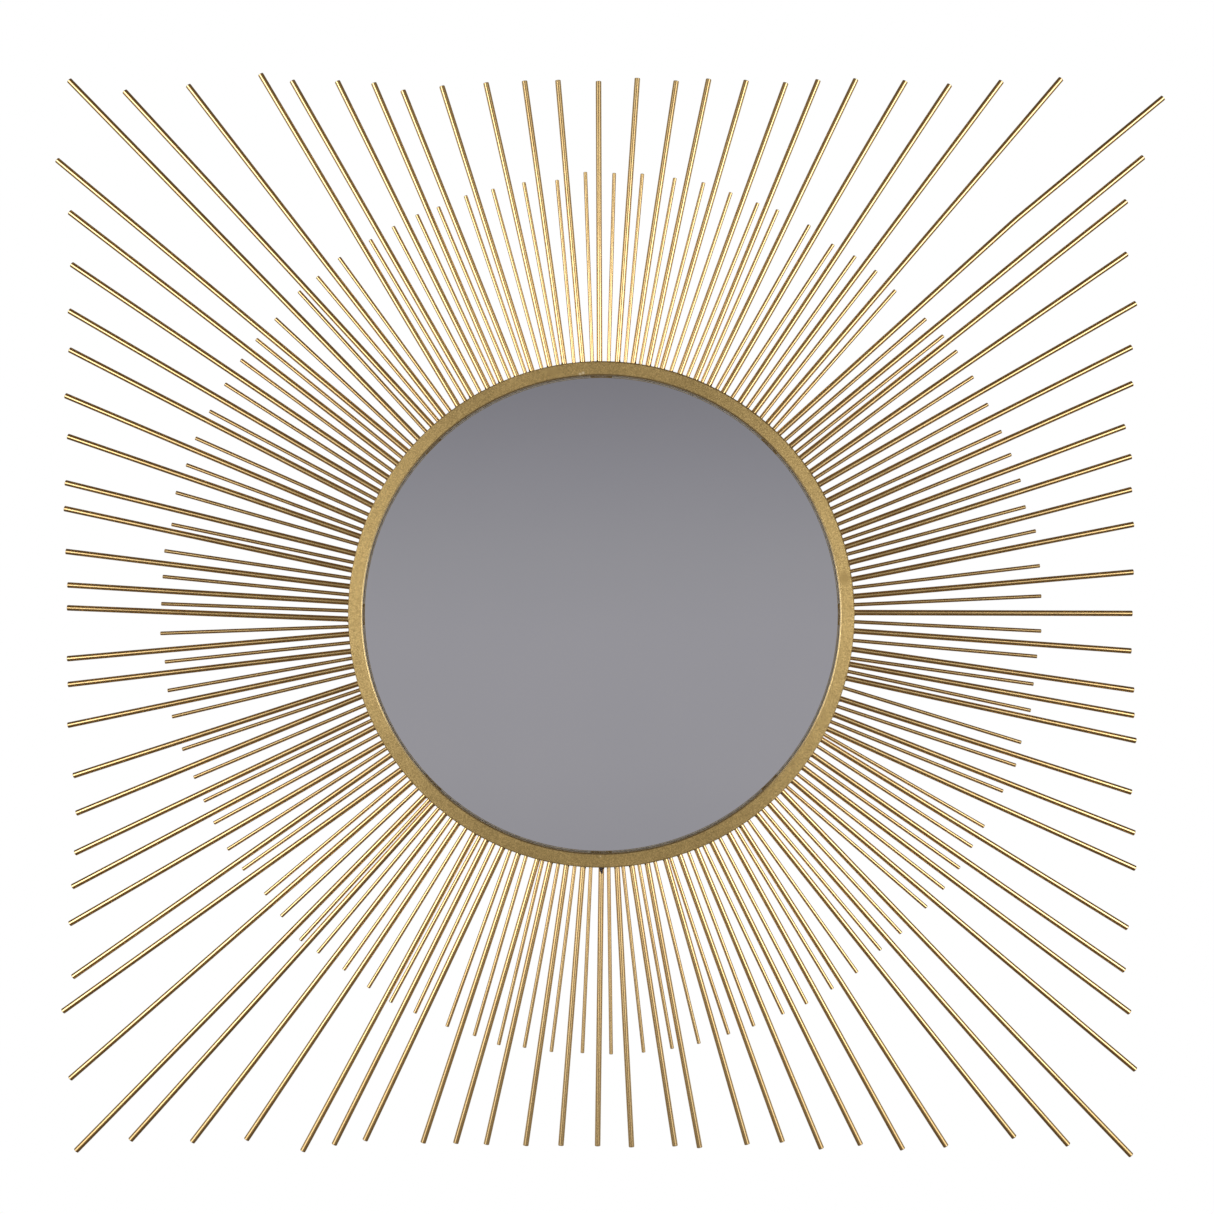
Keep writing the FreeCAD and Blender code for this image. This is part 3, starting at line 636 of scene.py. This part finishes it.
def middle_of(points):
    low = Vector([min(point[axis] for point in points) for axis in range(3)])
    high = Vector([max(point[axis] for point in points) for axis in range(3)])
    return (low + high) / 2


def foot_of(points):
    """The middle of a rod's foot and the direction the rod leaves it in."""
    reach = [math.hypot(point.x, point.z) for point in points]
    nearest = min(reach)
    furthest = max(reach)
    foot = middle_of([point for point, r in zip(points, reach) if r < nearest + 1.5 * MM])
    tip = middle_of([point for point, r in zip(points, reach) if r > furthest - 3.5 * MM])
    return foot, (tip - foot).normalized()


feet = {}
for name, node in nodes.items():
    if "_rods_oclock_" in name:
        feet[name] = [foot_of(points) for points in shells(node)]
print("feet found:", sum(len(found) for found in feet.values()))

# %% Weld metal


def weld_metal(name, dark, light, roughness):
    """Dark weld metal in the given colours: scaly, and darker in some places than in others."""
    material, tree, shader = new_finish(name)
    scale = noise_on(tree, object_place(tree), 420, 4, 0.65)
    tree.links.new(colours(tree, scale, [(0.3, dark), (0.7, light)]), shader.inputs["Base Color"])
    shader.inputs["Metallic"].default_value = 1.0
    tree.links.new(spread(tree, scale, roughness, roughness + 0.15), shader.inputs["Roughness"])
    bump(tree, shader, [(scale, 0.5, 0.0002)])
    return material


# The rods' welds are coloured a dark bronze as painted shade at the rods' feet.
painted_shade_gold = weld_metal("gold darkened as painted shade", (0.10, 0.055, 0.02), (0.30, 0.18, 0.075), 0.35)

# %% Weld beads
UNEVEN = 0.06  # how far a bead's surface may wander, as a share of its size
chance = random.Random(31)


def bead(shape, centre, out, size):
    """A squashed ball: size is its half length along the rod, across it and forwards."""
    made = bmesh.ops.create_uvsphere(shape, u_segments=8, v_segments=6, radius=1.0)
    for vert in made["verts"]:
        vert.co *= 1 + chance.uniform(-UNEVEN, UNEVEN)
    across = Vector((0, 1, 0)).cross(out).normalized()
    turn = Matrix((out, across, out.cross(across))).transposed().to_4x4()
    matrix = Matrix.Translation(centre) @ turn @ Matrix.Diagonal((*size, 1))
    bmesh.ops.transform(shape, matrix=matrix, verts=made["verts"])


def weld_piece(name, shape, metal):
    """A smooth piece of weld made from a finished bmesh."""
    mesh = bpy.data.meshes.new(name)
    shape.to_mesh(mesh)
    shape.free()
    for face in mesh.polygons:
        face.use_smooth = True
    mesh.materials.append(metal)
    weld = bpy.data.objects.new(name, mesh)
    bpy.context.scene.collection.objects.link(weld)
    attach(weld, "root")
    return weld


def weld_row(name, rods_name, radius):
    """The welds of one hour's rods, each on the side of the rod that is turned down."""
    shape = bmesh.new()
    for foot, out in feet[rods_name]:
        down = Vector((0, 1, 0)).cross(out).normalized()
        if down.z > 0:
            down = -down
        length = radius * chance.uniform(0.6, 1.0)
        centre = Vector((foot.x, 0, foot.z)).normalized() * (RING_OUTER + length * 0.3)
        centre.y = foot.y - radius * 0.25
        centre += down * radius * 0.62
        bead(shape, centre, out, (length, radius * 0.52, radius * 0.85))
    # The weld's dark colour is painted shade at the rod's foot.
    return weld_piece(name, shape, painted_shade_gold)


weld_rows = []
for hour in range(1, 13):
    for kind, radius in (("long", LONG_ROD_RADIUS), ("short", SHORT_ROD_RADIUS)):
        weld_rows.append(
            weld_row(f"{kind}_welds_oclock_{hour}", f"{kind}_rods_oclock_{hour}", radius)
        )
print("weld pieces:", len(weld_rows))

# %% [markdown]
# ## The bare weld at six o'clock
# One weld was done again after the ring was sprayed. It stands under the ring at six
# o'clock, in front of the foot of the rod there, and its metal is bare and dark.

# %% Bare weld
# Each lump: its centre in the frame's x, y and z and its radius, all in millimetres.
BARE_LUMPS = [
    (-0.2, -14.6, -214.3, 1.75),
    (0.0, -14.4, -216.3, 1.5),
    (0.1, -14.2, -218.2, 1.2),
]


def bare_weld():
    shape = bmesh.new()
    down = Vector((0, 0, -1))
    for x, y, z, size in BARE_LUMPS:
        lump = (size * 1.1 * MM, size * MM, size * 0.8 * MM)
        bead(shape, Vector((x, y, z)) * MM, down, lump)
    metal = weld_metal("bare weld", (0.05, 0.045, 0.05), (0.16, 0.145, 0.16), 0.4)
    return weld_piece("bare_weld", shape, metal)


print("bare weld:", len(bare_weld().data.polygons), "faces")
